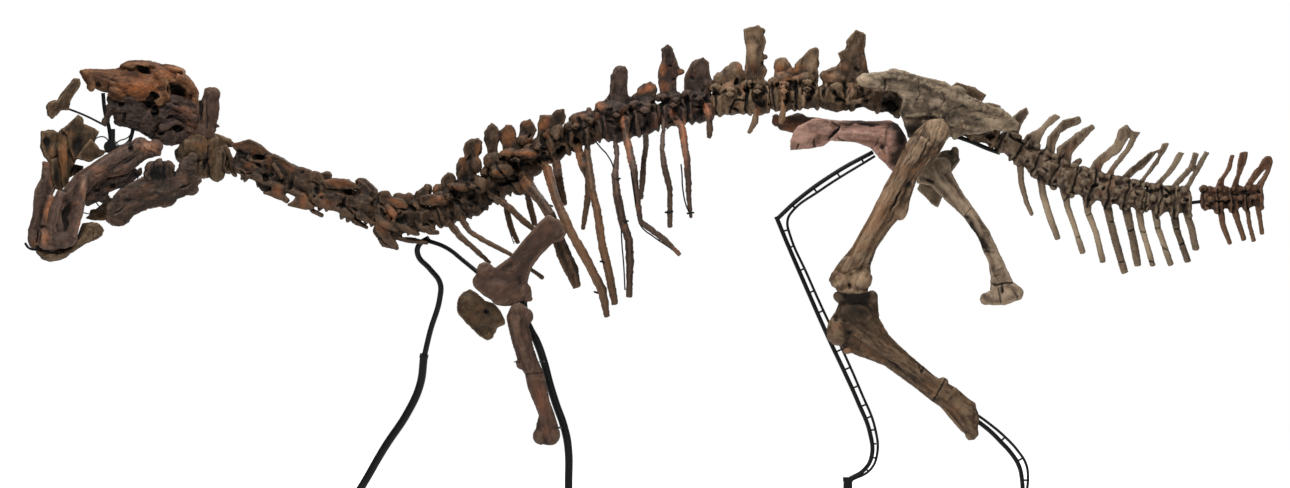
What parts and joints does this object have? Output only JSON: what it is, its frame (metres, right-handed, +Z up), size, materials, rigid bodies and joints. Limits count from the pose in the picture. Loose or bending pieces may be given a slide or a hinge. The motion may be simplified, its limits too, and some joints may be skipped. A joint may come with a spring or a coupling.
{
  "type": "mounted duck-billed dinosaur skeleton",
  "caption": "Incomplete fossil skeleton of a young duck-billed dinosaur, walking with lowered head, on a black steel stand whose bars stand in for missing legs.",
  "frame": {"origin": "on the floor, under the middle of the skeleton's length and width", "axes": "+X towards the end of the tail, -X the way the animal faces, +Y to its right, +Z up"},
  "size_m": [5.9084, 0.802, 2.4227],
  "materials": {
    "skull_bone": "matte mineralised bone",
    "neck_bone": "matte mineralised bone",
    "back_bone": "matte mineralised bone",
    "hip_bone": "matte mineralised bone",
    "leg_bone": "matte mineralised bone",
    "shoulder_bone": "matte mineralised bone",
    "tail_bone": "matte mineralised bone",
    "stand_steel": "satin black paint"
  },
  "bodies": {
    "root": {"skull_roof": "skull_bone", "braincase": "skull_bone", "quadrate_left": "skull_bone", "occiput": "skull_bone", "nasal_front": "skull_bone", "nasal_left": "skull_bone", "nasal_right": "skull_bone", "premaxilla_left": "skull_bone", "premaxilla_right": "skull_bone", "maxilla_left": "skull_bone", "dentary_left": "skull_bone", "dentary_right": "skull_bone", "predentary": "skull_bone", "neck_front": "neck_bone", "neck_middle": "neck_bone", "neck_rear": "neck_bone", "back_1": "back_bone", "back_2": "back_bone", "back_3": "back_bone", "back_4": "back_bone", "back_5": "back_bone", "back_6": "back_bone", "back_7": "back_bone", "back_8": "back_bone", "sacrum_front": "hip_bone", "sacrum_rear": "hip_bone", "ilium_left": "hip_bone", "ilium_right": "hip_bone", "pubis_left": "hip_bone", "pubis_right": "hip_bone", "ischium_left": "hip_bone", "ischium_right": "hip_bone", "femur_left": "leg_bone", "tibia_left": "leg_bone", "scapula_left": "shoulder_bone", "coracoid_left": "shoulder_bone", "humerus_left": "shoulder_bone", "tail_1": "tail_bone", "tail_2": "tail_bone", "tail_3": "tail_bone", "tail_4": "tail_bone", "stand_head": "stand_steel", "stand_front_right": "stand_steel", "stand_front_left": "stand_steel", "stand_hind_right": "stand_steel", "stand_hind_left": "stand_steel", "stand_tail_rod": "stand_steel", "stand_hip_bar": "stand_steel"}
  },
  "joints": []
}
